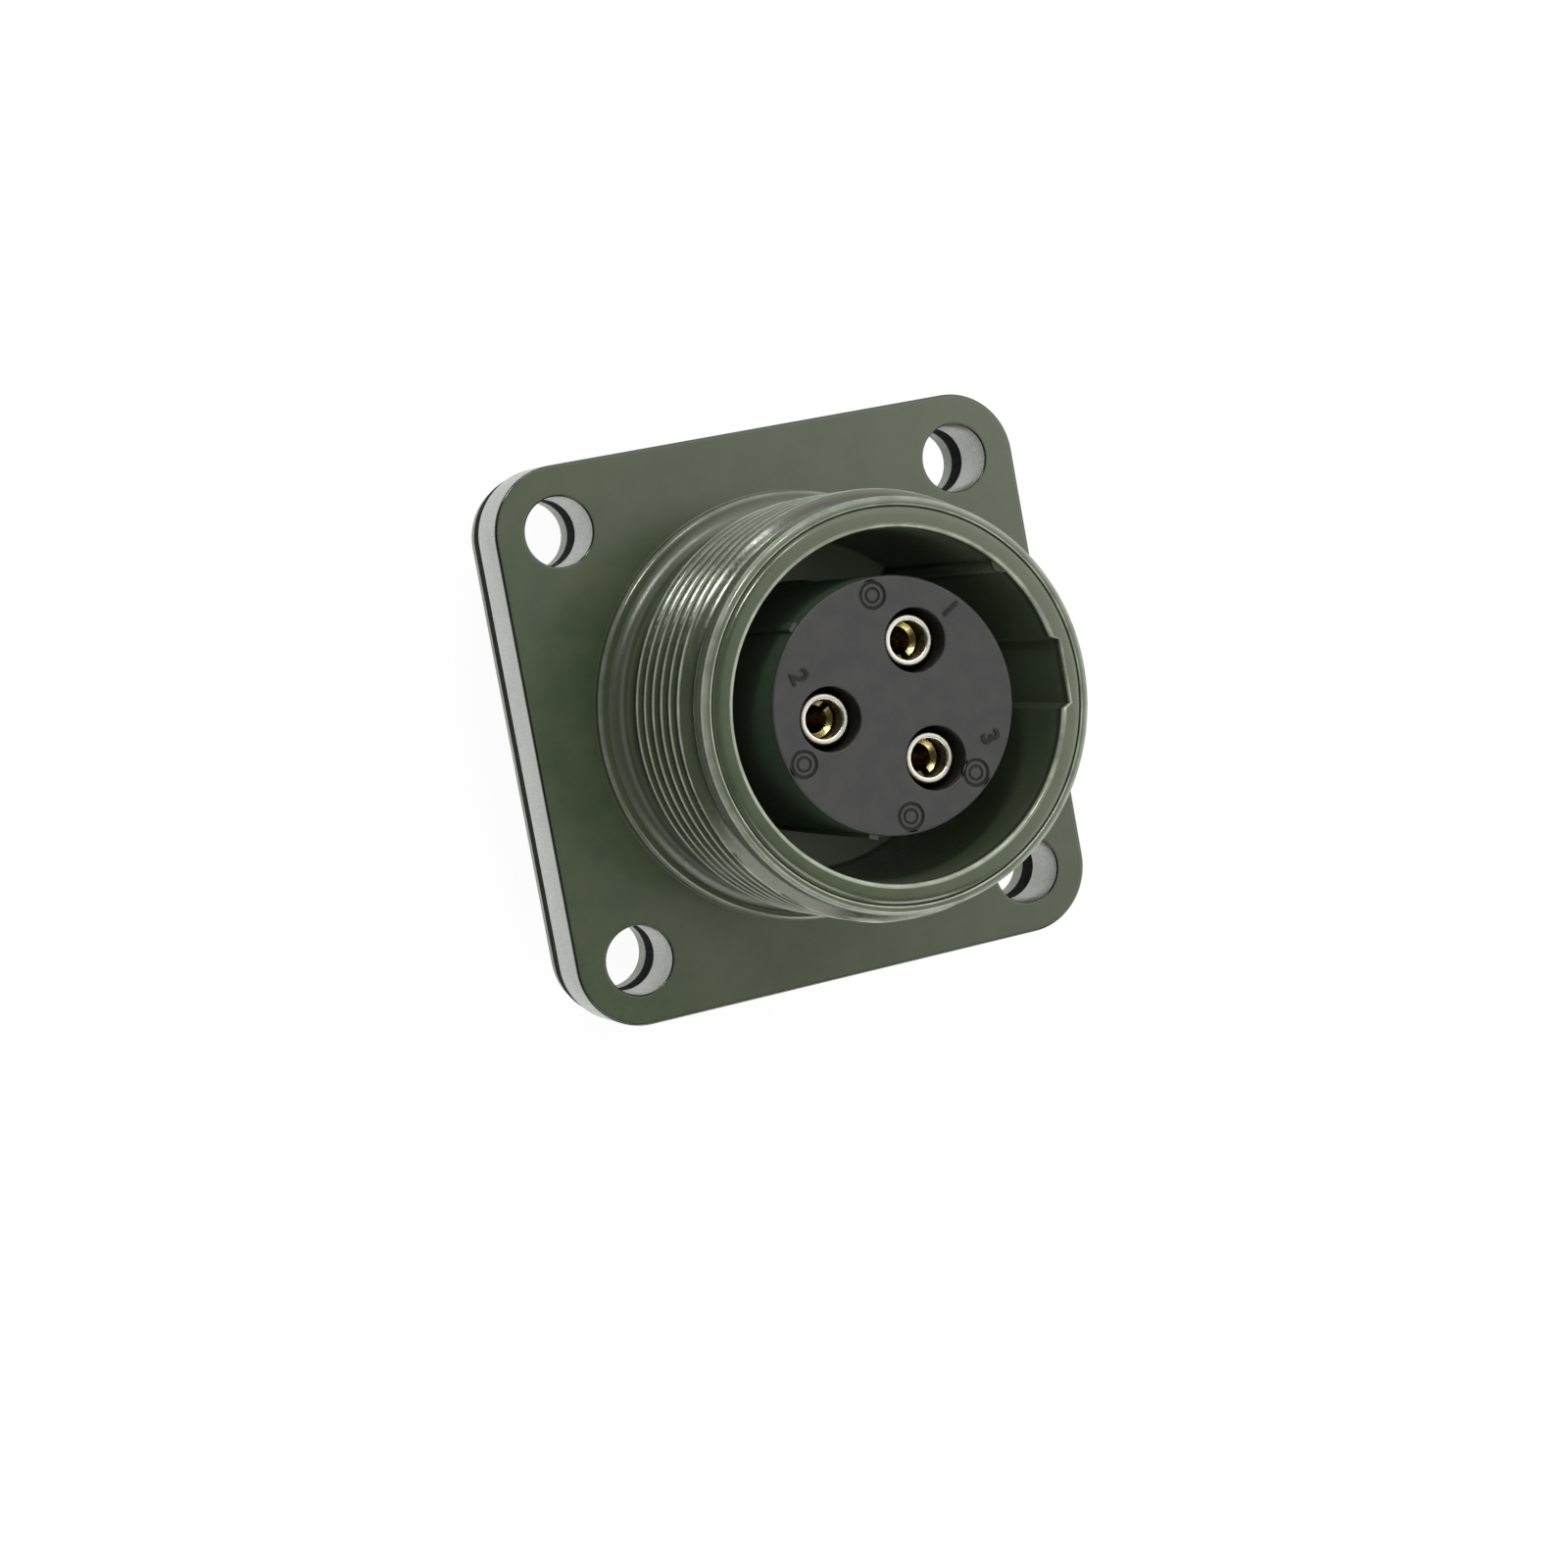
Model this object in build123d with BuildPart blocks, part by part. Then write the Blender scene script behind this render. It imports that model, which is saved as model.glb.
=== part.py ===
from build123d import *
import os
from math import cos, radians, sin

# Square-flange circular connector receptacle with three socket contacts, in millimetres.
# The origin is the centre of the panel face, at the back of the backing plate. +Z runs
# along the connector towards the mating end, and +X points at the master keyway.

# Flange and the two sheets behind it
flange_side = 30.0
flange_corner_r = 3.6
flange_t = 3.2
flange_edge_r = 0.12
hole_inset = 3.5
hole_d = 3.7
hole_edge = 0.08
gasket_t = 1.3
gasket_inset = 0.15
plate_t = 1.1
plate_inset = 0.33
sheet_bore_gap = 0.1

# Barrel, from the flange to the mouth. Each step is radial, from the thread's outside.
barrel_length = 14.0
thread_d = 22.0
boss_step = 0.55
boss_h = 0.65
boss_edge_r = 0.3
boss_land = 0.1
neck_step = 0.75
neck_length = 4.5
thread_end_run = 0.35
relief_step = 0.8
relief_w = 0.4
lip_step = 0.5
lip_length = 1.55
lip_wall = 1.58
cavity_depth = 13.7
mouth_edge_r = 0.22

# End of the lip: a bead along the outer edge, a shallow valley, and a flat rim round the mouth
bead_w = 0.5
bead_setback = 0.14
bead_edge_r = 0.2
valley_w = 0.38
valley_depth = 0.3
valley_slope = 0.08

# Polarising features inside the cavity
keyway_w = 3.4
keyway_depth = 0.22
keyway_lead_step = 0.2
keyway_lead_length = 0.6
rib_w = 0.9
rib_h = 0.28
rib_angle = 41.5

# Rear skirt, with the seat of the inserts
skirt_step = 0.7
skirt_length = 9.6
skirt_chamfer = 0.4
skirt_wall = 1.7
web_t = 1.5

# Insulating inserts
insert_d = 13.12
insert_recess = 0.95
insert_edge = 0.12
shoulder_t = 2.5
rear_insert_t = 4.5
insert_gap = 0.1
insert_key_w = 1.6
insert_key_h = 0.7
insert_key_gap = 0.1
insert_key_angle = 90.0
nub_w = 0.5
nub_h = 0.22
nub_angles = (133.0, 250.0)
ejector_d = 1.45
ejector_depth = 0.1
ejector_inset = 0.91
ejector_angles = (91.0, 200.0, 268.5, 312.0)

# Contacts, on a circle round the axis
contact_count = 3
contact_circle_d = 7.0
contact_start_angle = 60.0
well_d = 3.3
well_floor_gap = 0.3
contact_gap = 0.06
hood_recess = 0.83
hood_d = 2.63
hood_wall = 0.22
hood_length = 6.5
hood_lip_t = 0.25
hood_lip_d = 1.97
hood_edge_r = 0.1
pin_bore_d = 1.6
pin_bore_depth = 8.5
tine_setback = 1.4
tine_gap = 0.03
tine_tip_wall = 0.13
tine_taper = 1.2
slot_w = 0.35
slot_length = 5.0
slot_angles = (108.0, 40.0, 108.0)
barrel_d = 2.6
collar_d = 3.5
collar_t = 1.2
collar_gap = 0.06
cup_recess = 0.5
cup_bore_d = 1.8
cup_bore_depth = 3.2
scoop_length = 1.2
scoop_offset = 0.2

# Spring ring behind the rear insert
ring_t = 0.9
ring_w = 1.5
ring_bite = 0.5
ring_gap = 0.05
ring_opening = 4.0
ring_opening_angle = 270.0

# Levels along the axis
flange_back_z = plate_t + gasket_t
flange_front_z = flange_back_z + flange_t
boss_top_z = flange_front_z + boss_h
thread_start_z = flange_front_z + neck_length
mouth_z = flange_front_z + barrel_length
bead_top_z = mouth_z - bead_setback
valley_z = mouth_z - valley_depth
lip_start_z = mouth_z - lip_length
thread_end_z = lip_start_z - relief_w
cavity_floor_z = mouth_z - cavity_depth
web_back_z = cavity_floor_z - web_t
shoulder_back_z = web_back_z - shoulder_t
rear_insert_back_z = shoulder_back_z - rear_insert_t
skirt_end_z = flange_back_z - skirt_length
insert_face_z = mouth_z - insert_recess
hood_front_z = insert_face_z - hood_recess
hood_back_z = hood_front_z - hood_length
tine_front_z = hood_front_z - tine_setback
well_floor_z = hood_back_z - well_floor_gap
cup_end_z = skirt_end_z + cup_recess

# Radii and spacings used more than once
hole_spacing = flange_side - 2 * hole_inset
thread_r = thread_d / 2
boss_r = thread_r + boss_step
neck_r = thread_r - neck_step
relief_r = thread_r - relief_step
lip_r = thread_r - lip_step
cavity_r = lip_r - lip_wall
bead_foot_r = lip_r - bead_w
rim_r = bead_foot_r - valley_w
neck_fillet_r = boss_r - boss_edge_r - boss_land - neck_r
rib_round_r = (rib_h**2 + (rib_w / 2) ** 2) / (2 * rib_h)
skirt_r = thread_r - skirt_step
rear_bore_r = skirt_r - skirt_wall
shoulder_r = rear_bore_r - insert_gap
insert_r = insert_d / 2
ejector_circle_r = insert_r - ejector_inset
hood_bore_r = hood_d / 2 - hood_wall
tine_r = hood_bore_r - tine_gap
tine_tip_r = pin_bore_d / 2 + tine_tip_wall
barrel_r = barrel_d / 2
barrel_hole_r = barrel_r + contact_gap
ring_r = rear_bore_r + ring_bite


def around(radius, angle):
    """The point at a radius and an angle in degrees about the axis."""
    return radius * cos(radians(angle)), radius * sin(radians(angle))


contact_points = [
    around(contact_circle_d / 2, contact_start_angle + i * 360 / contact_count)
    for i in range(contact_count)
]


def circles_at(points, radius):
    """Adds a circle of one radius at each point of the current sketch."""
    with Locations(*points):
        Circle(radius)


# Shell: flange, barrel, cavity and rear skirt in one casting
with BuildPart() as shell:
    with BuildSketch(Plane.XY.offset(flange_back_z)):
        RectangleRounded(flange_side, flange_side, flange_corner_r)
    extrude(amount=flange_t)
    fillet(shell.faces().filter_by(Axis.Z).edges(), flange_edge_r)

    # The outside of the barrel and skirt, turned about the axis
    with BuildSketch(Plane.XZ):
        with BuildLine():
            Polyline(
                (0, skirt_end_z),
                (skirt_r - skirt_chamfer, skirt_end_z),
                (skirt_r, skirt_end_z + skirt_chamfer),
                (skirt_r, flange_back_z + flange_t / 2),
                (boss_r, flange_back_z + flange_t / 2),
                (boss_r, boss_top_z - boss_edge_r),
            )
            TangentArc(
                (boss_r, boss_top_z - boss_edge_r),
                (boss_r - boss_edge_r, boss_top_z),
                tangent=(0, 1),
            )
            Line((boss_r - boss_edge_r, boss_top_z), (neck_r + neck_fillet_r, boss_top_z))
            TangentArc(
                (neck_r + neck_fillet_r, boss_top_z),
                (neck_r, boss_top_z + neck_fillet_r),
                tangent=(-1, 0),
            )
            Polyline(
                (neck_r, boss_top_z + neck_fillet_r),
                (neck_r, thread_start_z),
                (thread_r, thread_start_z + thread_r - neck_r),
                (thread_r, thread_end_z - thread_end_run),
                (relief_r, thread_end_z),
                (relief_r, lip_start_z),
                (lip_r, lip_start_z),
                (lip_r, bead_top_z - bead_edge_r),
            )
            TangentArc(
                (lip_r, bead_top_z - bead_edge_r),
                (lip_r - bead_edge_r, bead_top_z),
                tangent=(0, 1),
            )
            Polyline(
                (lip_r - bead_edge_r, bead_top_z),
                (bead_foot_r + valley_slope, bead_top_z),
                (bead_foot_r, valley_z),
                (rim_r + valley_slope, valley_z),
                (rim_r, mouth_z),
                (0, mouth_z),
                (0, skirt_end_z),
            )
        make_face()
    revolve(axis=Axis.Z)

    # The cavity, with a rounded mouth
    with BuildSketch(Plane.XY.offset(mouth_z)):
        Circle(cavity_r)
    extrude(amount=-cavity_depth, mode=Mode.SUBTRACT)
    fillet(shell.faces().sort_by(Axis.Z)[-1].inner_wires()[0].edges(), mouth_edge_r)

    # The master keyway, with a sloped lead-in at the mouth
    with BuildSketch(Plane.XY.offset(mouth_z)):
        with Locations(around(cavity_r, 0)):
            Rectangle(2 * keyway_depth, keyway_w)
    extrude(amount=-cavity_depth, mode=Mode.SUBTRACT)
    with BuildSketch(Plane.XZ):
        with BuildLine():
            Polyline(
                (cavity_r, mouth_z),
                (cavity_r + keyway_depth + keyway_lead_step, mouth_z),
                (cavity_r + keyway_depth, mouth_z - keyway_lead_length),
                (cavity_r, mouth_z - keyway_lead_length),
                close=True,
            )
        make_face()
    extrude(amount=keyway_w / 2, both=True, mode=Mode.SUBTRACT)

    # The small rounded rib beside the keyway
    with BuildSketch(Plane.XY.offset(mouth_z - mouth_edge_r)):
        with Locations(around(cavity_r - rib_h + rib_round_r, rib_angle)):
            Circle(rib_round_r)
        Circle(cavity_r + rib_h, mode=Mode.INTERSECT)
    extrude(amount=mouth_edge_r - cavity_depth)

    # The seat of the inserts: web hole, rear bore with its keyway, ring groove
    with BuildSketch(Plane.XY.offset(cavity_floor_z)):
        Circle(insert_r + insert_gap)
    extrude(amount=-web_t, mode=Mode.SUBTRACT)
    with BuildSketch(Plane.XY.offset(skirt_end_z)):
        Circle(rear_bore_r)
        with Locations(around(rear_bore_r, insert_key_angle)):
            Rectangle(
                2 * insert_key_h, insert_key_w + 2 * insert_key_gap, rotation=insert_key_angle
            )
    extrude(amount=web_back_z - skirt_end_z, mode=Mode.SUBTRACT)
    with BuildSketch(Plane.XY.offset(rear_insert_back_z + ring_gap)):
        Circle(ring_r + ring_gap)
    extrude(amount=-(ring_t + 2 * ring_gap), mode=Mode.SUBTRACT)

    # The four mounting holes, with broken edges
    with Locations(Plane.XY.offset(flange_front_z)):
        with GridLocations(hole_spacing, hole_spacing, 2, 2):
            Hole(hole_d / 2, depth=flange_t)
    hole_edges = shell.edges().filter_by(GeomType.CIRCLE).filter_by(
        lambda edge: abs(edge.radius - hole_d / 2) < 0.01 and edge.center().Z > flange_back_z - 0.01
    )
    chamfer(hole_edges, hole_edge)


def flange_sheet(back_z, thickness, inset):
    """Sketches and extrudes a sheet just inside the flange's outline, with its holes."""
    side = flange_side - 2 * inset
    with BuildSketch(Plane.XY.offset(back_z)) as outline:
        RectangleRounded(side, side, flange_corner_r - inset)
        Circle(skirt_r + sheet_bore_gap, mode=Mode.SUBTRACT)
        with GridLocations(hole_spacing, hole_spacing, 2, 2):
            Circle(hole_d / 2, mode=Mode.SUBTRACT)
    extrude(outline.sketch, amount=thickness)


# Gasket, between the flange and the backing plate
with BuildPart() as flange_gasket:
    flange_sheet(plate_t, gasket_t, gasket_inset)

# Backing plate, whose back is the panel face
with BuildPart() as backing_plate:
    flange_sheet(0, plate_t, plate_inset)


def insert_key(back_z, front_z):
    """Adds the key that stops an insert from turning in the rear bore."""
    with BuildSketch(Plane.XY.offset(back_z)) as key:
        with Locations(around(shoulder_r, insert_key_angle)):
            Rectangle(2 * insert_key_h, insert_key_w, rotation=insert_key_angle)
    extrude(key.sketch, amount=front_z - back_z)


# Front insert: keyed shoulder, nose in the cavity, three contact wells
with BuildPart() as front_insert:
    with BuildSketch(Plane.XY.offset(shoulder_back_z)):
        Circle(shoulder_r)
    extrude(amount=shoulder_t)
    insert_key(shoulder_back_z, web_back_z)
    with BuildSketch(Plane.XY.offset(web_back_z)):
        Circle(insert_r)
    extrude(amount=insert_face_z - web_back_z)
    chamfer(front_insert.faces().sort_by(Axis.Z)[-1].edges(), insert_edge)
    # Two nubs on the nose, above the web
    with BuildSketch(Plane.XY.offset(cavity_floor_z + nub_w)):
        for nub_angle in nub_angles:
            with Locations(around(insert_r, nub_angle)):
                Rectangle(2 * nub_h, nub_w, rotation=nub_angle)
    extrude(amount=insert_face_z - insert_edge - cavity_floor_z - nub_w)
    # Wells, contact holes and collar seats
    with BuildSketch(Plane.XY.offset(insert_face_z)):
        circles_at(contact_points, well_d / 2)
    extrude(amount=well_floor_z - insert_face_z, mode=Mode.SUBTRACT)
    with BuildSketch(Plane.XY.offset(well_floor_z)):
        circles_at(contact_points, barrel_hole_r)
    extrude(amount=shoulder_back_z - well_floor_z, mode=Mode.SUBTRACT)
    with BuildSketch(Plane.XY.offset(shoulder_back_z)):
        circles_at(contact_points, collar_d / 2 + collar_gap)
    extrude(amount=collar_t + collar_gap, mode=Mode.SUBTRACT)
    # Shallow round marks of the moulding pins
    with BuildSketch(Plane.XY.offset(insert_face_z)):
        circles_at([around(ejector_circle_r, angle) for angle in ejector_angles], ejector_d / 2)
    extrude(amount=-ejector_depth, mode=Mode.SUBTRACT)

# Rear insert: a keyed disc that traps the contacts' collars
with BuildPart() as rear_insert:
    with BuildSketch(Plane.XY.offset(rear_insert_back_z)):
        Circle(shoulder_r)
    extrude(amount=rear_insert_t)
    insert_key(rear_insert_back_z, shoulder_back_z)
    with BuildSketch(Plane.XY.offset(rear_insert_back_z)):
        circles_at(contact_points, barrel_hole_r)
    extrude(amount=rear_insert_t, mode=Mode.SUBTRACT)

# Retaining ring: an open spring ring, half in the groove of the shell
with BuildPart() as retaining_ring:
    with BuildSketch(Plane.XY.offset(rear_insert_back_z)):
        Circle(ring_r)
        Circle(ring_r - ring_w, mode=Mode.SUBTRACT)
        with Locations(around(ring_r - ring_w / 2, ring_opening_angle)):
            Rectangle(2 * ring_w, ring_opening, rotation=ring_opening_angle, mode=Mode.SUBTRACT)
    extrude(amount=-ring_t)


def half_section(point, outline):
    """Sketches a closed half section of radius and height points, turned about a contact's axis."""
    plane = Plane(origin=(*point, 0), x_dir=(1, 0, 0), z_dir=(0, -1, 0))
    with BuildSketch(plane) as half:
        with BuildLine():
            Polyline(*outline, close=True)
        make_face()
    revolve(half.sketch, axis=Axis((*point, 0), (0, 0, 1)))


# Contacts: slotted socket with closed-in tips, barrel, collar and scooped solder cup, in one piece
contacts = []
for number, point in enumerate(contact_points, 1):
    with BuildPart() as contact:
        half_section(
            point,
            (
                (0, cup_end_z),
                (barrel_r, cup_end_z),
                (barrel_r, shoulder_back_z),
                (collar_d / 2, shoulder_back_z),
                (collar_d / 2, shoulder_back_z + collar_t),
                (barrel_r, shoulder_back_z + collar_t),
                (barrel_r, hood_back_z),
                (tine_r, hood_back_z),
                (tine_r, tine_front_z - tine_taper),
                (tine_tip_r, tine_front_z),
                (0, tine_front_z),
            ),
        )
        with BuildSketch(Plane((*point, tine_front_z))):
            Circle(pin_bore_d / 2)
        extrude(amount=-pin_bore_depth, mode=Mode.SUBTRACT)
        with BuildSketch(Plane((*point, tine_front_z))):
            slot_angle = slot_angles[(number - 1) % len(slot_angles)]
            Rectangle(3 * tine_r, slot_w, rotation=slot_angle)
        extrude(amount=-slot_length, mode=Mode.SUBTRACT)
        with BuildSketch(Plane((*point, cup_end_z))):
            Circle(cup_bore_d / 2)
        extrude(amount=cup_bore_depth, mode=Mode.SUBTRACT)
        with BuildSketch(Plane((*point, cup_end_z))):
            with Locations((0, scoop_offset + barrel_r)):
                Rectangle(3 * barrel_r, 2 * barrel_r)
        extrude(amount=scoop_length, mode=Mode.SUBTRACT)
    contact.part.label = f"socket_contact_{number}"
    contacts.append(contact)

# Hoods: thin sleeves over the tines, with a rounded lip that guides the pin
hoods = []
for number, point in enumerate(contact_points, 1):
    with BuildPart() as hood:
        half_section(
            point,
            (
                (hood_bore_r, hood_back_z),
                (hood_d / 2, hood_back_z),
                (hood_d / 2, hood_front_z),
                (hood_lip_d / 2, hood_front_z),
                (hood_lip_d / 2, hood_front_z - hood_lip_t),
                (hood_bore_r, hood_front_z - hood_lip_t),
            ),
        )
        fillet(hood.edges().group_by(Axis.Z)[-1], hood_edge_r)
    hood.part.label = f"contact_hood_{number}"
    hoods.append(hood)

shell.part.label = "shell"
flange_gasket.part.label = "flange_gasket"
backing_plate.part.label = "backing_plate"
front_insert.part.label = "front_insert"
rear_insert.part.label = "rear_insert"
retaining_ring.part.label = "retaining_ring"

os.makedirs("parts", exist_ok=True)
export_step(shell.part, "parts/shell.step")
export_step(flange_gasket.part, "parts/flange_gasket.step")
export_step(backing_plate.part, "parts/backing_plate.step")
export_step(front_insert.part, "parts/front_insert.step")
export_step(rear_insert.part, "parts/rear_insert.step")
export_step(retaining_ring.part, "parts/retaining_ring.step")
for piece in contacts + hoods:
    export_step(piece.part, f"parts/{piece.part.label}.step")
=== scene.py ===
import math

import bmesh
import bpy
import numpy as np
from mathutils import Matrix, Vector


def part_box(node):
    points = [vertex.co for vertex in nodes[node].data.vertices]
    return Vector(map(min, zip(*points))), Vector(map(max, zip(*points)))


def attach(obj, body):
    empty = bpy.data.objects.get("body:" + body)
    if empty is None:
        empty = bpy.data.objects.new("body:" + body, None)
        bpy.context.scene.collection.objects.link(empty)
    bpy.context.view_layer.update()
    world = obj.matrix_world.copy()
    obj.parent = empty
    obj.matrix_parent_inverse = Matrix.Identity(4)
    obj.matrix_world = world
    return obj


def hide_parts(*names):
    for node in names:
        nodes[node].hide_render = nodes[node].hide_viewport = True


# Lengths are in millimetres until a mesh is finished, in the frame of the solids.
MM = 0.001

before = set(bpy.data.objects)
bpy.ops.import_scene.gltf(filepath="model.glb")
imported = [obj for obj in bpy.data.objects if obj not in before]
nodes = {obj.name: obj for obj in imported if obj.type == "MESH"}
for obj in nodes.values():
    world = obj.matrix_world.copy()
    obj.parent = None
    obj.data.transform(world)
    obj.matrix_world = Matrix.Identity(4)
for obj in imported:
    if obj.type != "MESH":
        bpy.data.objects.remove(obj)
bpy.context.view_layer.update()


def top_of(node):
    """The highest level of a CAD node, in millimetres."""
    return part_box(node)[1].z / MM


def bottom_of(node):
    """The lowest level of a CAD node, in millimetres."""
    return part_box(node)[0].z / MM


# Lengths of the shell along its axis
FLANGE_T = 3.2
BOSS_H = 0.65
NECK_LENGTH = 4.5
FIRST_CREST = 4.545
RELIEF_W = 0.4
LIP_LENGTH = 1.55
BEAD_SETBACK = 0.14
VALLEY_DEPTH = 0.3
RIB_SETBACK = 0.22
CAVITY_DEPTH = 13.7
WEB_T = 1.5

# Levels along the axis
FLANGE_BACK = top_of("flange_gasket")
FLANGE_FRONT = FLANGE_BACK + FLANGE_T
BOSS_TOP = FLANGE_FRONT + BOSS_H
MOUTH = top_of("shell")
BEAD_TOP = MOUTH - BEAD_SETBACK
VALLEY = MOUTH - VALLEY_DEPTH
RIB_TOP = MOUTH - RIB_SETBACK
LIP_START = MOUTH - LIP_LENGTH
THREAD_START = FLANGE_FRONT + NECK_LENGTH
THREAD_END = LIP_START - RELIEF_W
CREST_AT = FLANGE_FRONT + FIRST_CREST
CAVITY_FLOOR = MOUTH - CAVITY_DEPTH
WEB_BACK = CAVITY_FLOOR - WEB_T
SKIRT_END = bottom_of("shell")
INSERT_FACE = top_of("front_insert")
INSERT_BACK = bottom_of("front_insert")
RING_FRONT = top_of("retaining_ring")
RING_BACK = bottom_of("retaining_ring")
HOOD_FRONT = top_of("contact_hood_1")
HOOD_BACK = bottom_of("contact_hood_1")
TINE_FRONT = top_of("socket_contact_1")
CUP_END = bottom_of("socket_contact_1")

# Flange
FLANGE_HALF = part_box("shell")[1].x / MM
CORNER_R = 3.6
EDGE_R = 0.12
HOLE_SPACING = 23.0
HOLE_R = 1.85
HOLE_EDGE = 0.08

# Radii of the shell
THREAD_R = 11.0
BOSS_R = 11.55
NECK_R = 10.25
RELIEF_R = 10.2
LIP_R = 10.5
CAVITY_R = 8.92
SKIRT_R = 10.3
REAR_BORE_R = 8.6
WEB_HOLE_R = 6.66
RING_GROOVE_R = 9.15
BEAD_FOOT_R = 10.0
CROWN_R = 9.6

# Edges, fillets and slopes of the shell
BOSS_EDGE = 0.3
BOSS_FOOT = 0.06
NECK_FILLET = 0.9
RELIEF_FOOT_W = 0.05
RELIEF_FOOT_H = 0.08
LIP_EDGE = 0.1
LIP_WAIST = 0.1
BEAD_EDGE = 0.3
BEAD_INNER_W = 0.09
BEAD_INNER_H = 0.07
BEAD_SLOPE = 0.03
CROWN_DROP = 0.014
MOUTH_EDGE = 0.22
FLOOR_FILLET = 0.1
WEB_EDGE = 0.05
RING_GAP = 0.05
REAR_CHAMFER = 0.1
SKIRT_CHAMFER = 0.4

# Coupling thread, right-handed
PITCH = 1.27
THREAD_DEPTH = 0.78
CREST_FLAT = 0.3
CREST_ROUND = 0.2
ROWS_PER_PITCH = 20
RUN_IN = 0.5
RUN_OUT = 0.35

# Polarising features
KEYWAY_W = 3.4
KEYWAY_DEPTH = 0.22
KEYWAY_RAMP_DEG = 1.8
KEYWAY_LEAD_STEP = 0.06
KEYWAY_LEAD_LENGTH = 0.6
KEYWAY_EDGE = 0.1
RIB_W = 0.9
RIB_H = 0.28
RIB_ANGLE = 41.5
INSERT_KEYWAY_W = 1.8
INSERT_KEYWAY_DEPTH = 0.7
INSERT_KEY_ANGLE = 90.0
RAMP_DEG = 0.35

# Front insert
INSERT_R = 6.56
INSERT_EDGE = 0.12
SHOULDER_R = 8.5
INSERT_KEY_REACH = 9.2
NUB_ANGLES = (133.0, 250.0)
NUB_W = 0.5
NUB_H = 0.22
WELL_R = 1.65
WELL_EDGE = 0.06
WELL_FLOOR_GAP = 0.3
KEY_GAP = 0.2
MARK_R = 0.725
MARK_INNER_R = 0.4
MARK_DEPTH = 0.1
MARK_GROOVE_W = 0.16
MARK_RING_W = 0.1
MARK_CIRCLE_R = 5.65
MARK_ANGLES = (91.0, 200.0, 268.5, 312.0)

# Contacts
CONTACT_CIRCLE_R = 3.5
CONTACT_ANGLES = (60.0, 180.0, 300.0)
HOOD_R = 1.315
HOOD_BORE_R = 1.095
HOOD_LIP_R = 0.985
HOOD_LIP_T = 0.25
HOOD_LIP_SLOPE = 0.1
HOOD_EDGE = 0.1
HOOD_BACK_EDGE = 0.04
TINE_R = 1.065
TINE_TIP_R = 1.03
TINE_TAPER = 1.2
TINE_EDGE = 0.04
ENTRY_SLOPE = 0.17
PIN_BORE_R = 0.8
PIN_ENTRY_R = 0.7
PIN_BORE_DEPTH = 8.5
SLOT_W = 0.35
SLOT_LENGTH = 5.0
SLOT_ANGLES = (108.0, 40.0, 108.0)
BARREL_R = 1.3
COLLAR_R = 1.75
COLLAR_T = 1.2
CONTACT_GAP = 0.06
CUP_BORE_R = 0.9
CUP_BORE_DEPTH = 3.2
DRILL_POINT = 0.4
SCOOP_LENGTH = 1.2
SCOOP_OFFSET = 0.2

# How far the slot's and the scoop's cutting boxes reach past the contact's end
CUT_PAST = 1.0

# Plain numbers on the insert: text, direction, distance from the axis and turn
NUMERAL_SIZE = 1.35
NUMERAL_RISE = 0.1
NUMERAL_SINK = 0.01
NUMERAL_STROKE = 0.03
NUMERALS = (("1", 47.0, 5.75, -60.0), ("2", 153.5, 5.35, -78.0), ("3", -28.0, 5.5, -75.0))

# Narrow bands beside rounded edges, which keep the flats beyond them flat
WIDE_BAND = 0.2
BAND = 0.1
THIN_BAND = 0.06
HAIR = 0.02

# How finely round things are divided
SHELL_COLUMNS = 288
INSERT_COLUMNS = 192
HOLE_COLUMNS = 72
CONTACT_COLUMNS = 64
RIB_COLUMNS = 11
CORNER_STEPS = 18
ARC_STEPS = 6
FEW_STEPS = 4
LIP_STEPS = 8
MANY_STEPS = 10

# Depths of a round mark, as shares of it, between which its surface is shaded as a hollow
MARK_SHADED_FROM = 0.7
MARK_SHADED_TO = 1.1

# Distances at which close vertices are welded, and a radius that the weld closes to a point
WELD = 1e-4
COARSE_WELD = 2e-3
AXIS_R = 0.001

# Angles between faces up to which a piece is shaded smoothly
SMOOTH_DEG = 32.0
CONTACT_SMOOTH_DEG = 40.0
HOOD_SMOOTH_DEG = 50.0

# Tolerance for choosing vertices and faces by their place
NEAR = 0.01

# Curvature, for each millimetre, at which an edge or a hollow counts as a full one
FULL_EDGE = 6.0

# Share of the thread's height below which its groove counts as a hollow and gets painted shade
GROOVE_TOP = 0.85

# What the flange's own edges, the boss's edge and the rim's crown count as, for each full edge. The flange's
# edges become painted shade, and the boss's edge and the crown keep part of their pale wear, which is also a
# painted highlight.
FLANGE_EDGE = -0.45
BOSS_WEAR_AND_HIGHLIGHT = 0.7
CROWN_WEAR_AND_HIGHLIGHT = 0.5

# Share of its hollow, and so of its painted shade, that the lip's valley, the boss's foot and the keyway
# keep
FAINT_HOLLOW = 0.15


# Mesh building

def ring(radius, level, angles, centre=(0.0, 0.0)):
    """Points on a circle, or on a closed outline if radius is one value for each angle."""
    flat = np.broadcast_to(radius, angles.shape)
    height = np.broadcast_to(level, angles.shape)
    return np.c_[centre[0] + flat * np.cos(angles), centre[1] + flat * np.sin(angles), height]


def full_turn(count):
    """Angles evenly round the axis."""
    return np.linspace(0.0, 2 * math.pi, count, endpoint=False)


def add_ring(bm, points):
    """Adds one closed ring of vertices."""
    return [bm.verts.new(p) for p in points]


def bridge(bm, lower, upper):
    """Joins two rings of as many vertices with faces."""
    for k in range(len(lower)):
        n = (k + 1) % len(lower)
        bm.faces.new((lower[k], lower[n], upper[n], upper[k]))


def skin(bm, rings):
    """Joins a list of rings in order, and returns their vertices."""
    made = [add_ring(bm, points) for points in rings]
    for lower, upper in zip(made, made[1:]):
        bridge(bm, lower, upper)
    return made


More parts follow.
